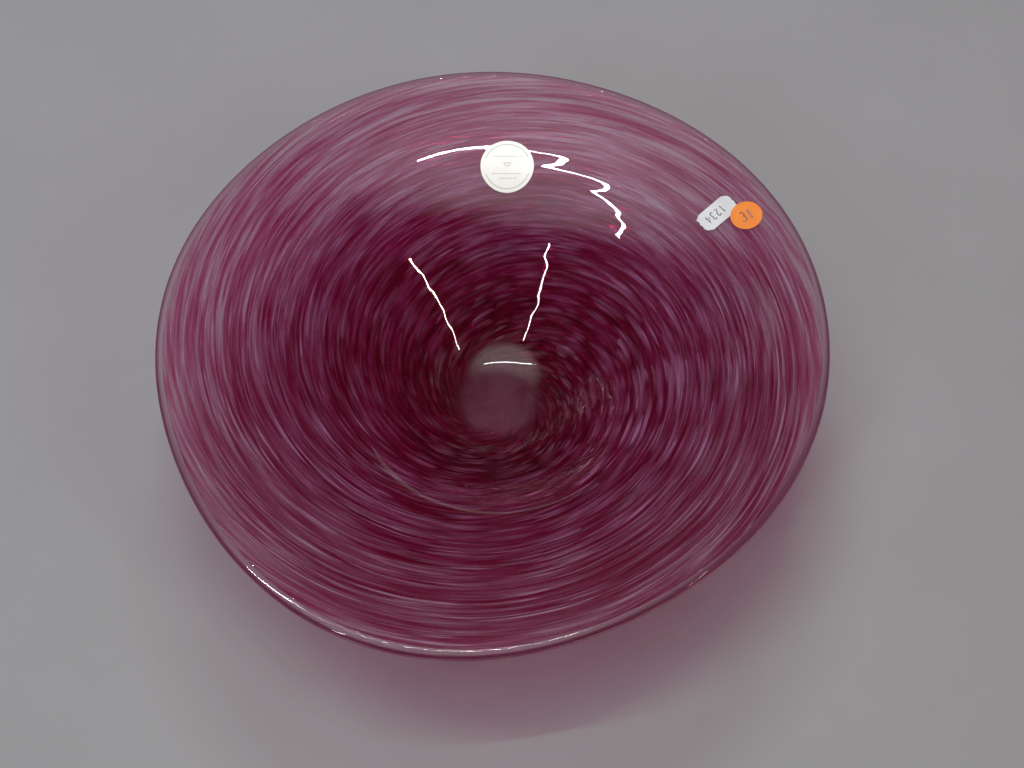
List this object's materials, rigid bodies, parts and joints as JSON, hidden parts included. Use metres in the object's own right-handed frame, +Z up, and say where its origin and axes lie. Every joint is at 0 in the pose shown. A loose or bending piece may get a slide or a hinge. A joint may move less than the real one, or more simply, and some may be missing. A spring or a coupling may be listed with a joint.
{
  "type": "art glass bowl",
  "caption": "Wide flared hand-blown bowl of cased ruby glass with drawn-out opal streaks, a rolled lip and a small ground foot, with paper labels inside.",
  "frame": {"origin": "centre of the ground foot, on the plane that it stands on; the out-of-round rim's box is centred within 2.5 mm of it", "axes": "+Z up out of the bowl; +X to the right and +Y to the back as the labels are read from the front"},
  "size_m": [0.3654, 0.3699, 0.0938],
  "materials": {
    "outer_clear_glass": "fire-polished",
    "ruby_glass": "transparent ruby, fused in the wall",
    "opal_glass": "streaky opal, fused in the wall",
    "inner_clear_glass": "fire-polished",
    "cream_paper": "coated paper label",
    "white_paper": "uncoated paper label",
    "orange_paper": "coloured paper label"
  },
  "bodies": {
    "root": {"clear_outer_casing": "outer_clear_glass", "ruby_layer": "ruby_glass", "opal_streak_layer": "opal_glass", "clear_inner_casing": "inner_clear_glass", "maker_label": "cream_paper", "price_label": "white_paper", "number_dot": "orange_paper"}
  },
  "joints": []
}
